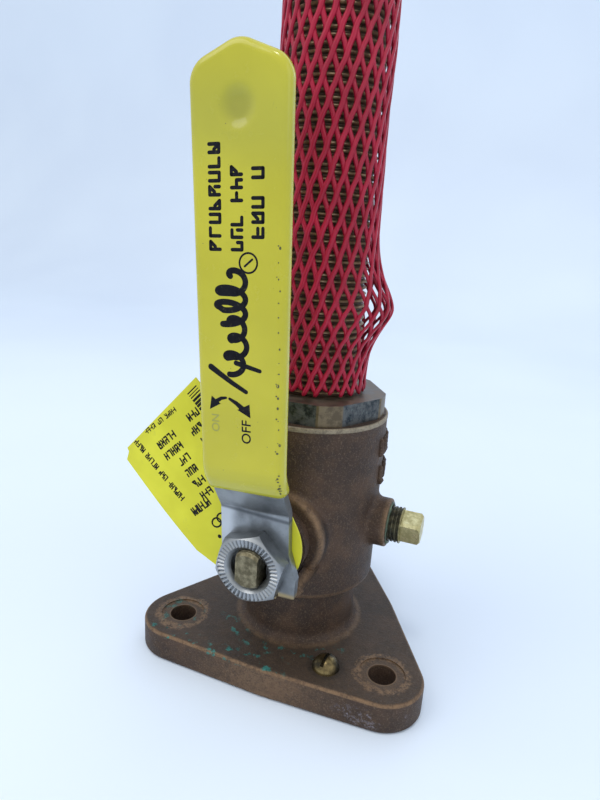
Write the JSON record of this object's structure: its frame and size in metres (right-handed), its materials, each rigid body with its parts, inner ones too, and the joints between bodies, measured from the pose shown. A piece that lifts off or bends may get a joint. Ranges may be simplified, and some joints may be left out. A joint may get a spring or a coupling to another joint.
{
  "type": "flanged seacock valve",
  "caption": "Flanged bronze quarter-turn ball valve for a hull opening, with a gripped lever, drain plug, tag and a netted threaded tail pipe.",
  "frame": {"origin": "centre of the flange's underside, on the waterway's axis", "axes": "+Z along the waterway away from the flange, -Y out along the stem to the lever, +X out along the drain plug"},
  "size_m": [0.1168, 0.125, 0.256],
  "materials": {
    "cast_bronze": "sand-cast, dark patina",
    "retainer_bronze": "machined, tarnished",
    "pipe_bronze": "machined thread",
    "ball_bronze": "polished, plated",
    "stem_brass": "machined",
    "fitting_brass": "machined",
    "seat_plastic": "matte",
    "seal_rubber": "matte",
    "plated_steel": "zinc plated",
    "grip_vinyl": "glossy dipped vinyl",
    "tag_card": "coated card",
    "net_plastic": "glossy extruded strands"
  },
  "bodies": {
    "valve": {"seacock_body": "cast_bronze", "retainer": "retainer_bronze", "retainer_seal": "seal_rubber", "lower_seat": "seat_plastic", "upper_seat": "seat_plastic", "stem_thrust_washer": "seat_plastic", "stem_packing": "seat_plastic", "gland_follower": "stem_brass", "gland_nut": "stem_brass", "bonding_screw": "fitting_brass", "threaded_pipe": "pipe_bronze", "netting_sleeve": "net_plastic"},
    "handle": {"stem": "stem_brass", "lever": "plated_steel", "lever_grip": "grip_vinyl", "handle_nut": "plated_steel"},
    "ball": {"ball": "ball_bronze"},
    "tag": {"id_tag": "tag_card"},
    "plug": {"drain_plug": "fitting_brass"}
  },
  "joints": [
    {"name": "lever_turn", "type": "hinge", "parent": "valve", "child": "handle", "pos_m": [0, -0.0467, 0.0613], "axis": [0, 1, 0], "range_deg": [0, 90]},
    {"name": "ball_turn", "type": "hinge", "parent": "valve", "child": "ball", "pos_m": [0, 0, 0.0613], "axis": [0, 1, 0], "range_deg": [0, 90]},
    {"name": "tag_turn", "type": "hinge", "parent": "handle", "child": "tag", "pos_m": [0, -0.0461, 0.0613], "axis": [0, 1, 0], "range_deg": [-12, 12]},
    {"name": "drain_plug_out", "type": "slide", "parent": "valve", "child": "plug", "axis": [1, 0, 0], "range_m": [0, 0.014]}
  ],
  "couplings": [
    {"joint": "ball_turn", "follows": "lever_turn", "ratio": 1}
  ]
}
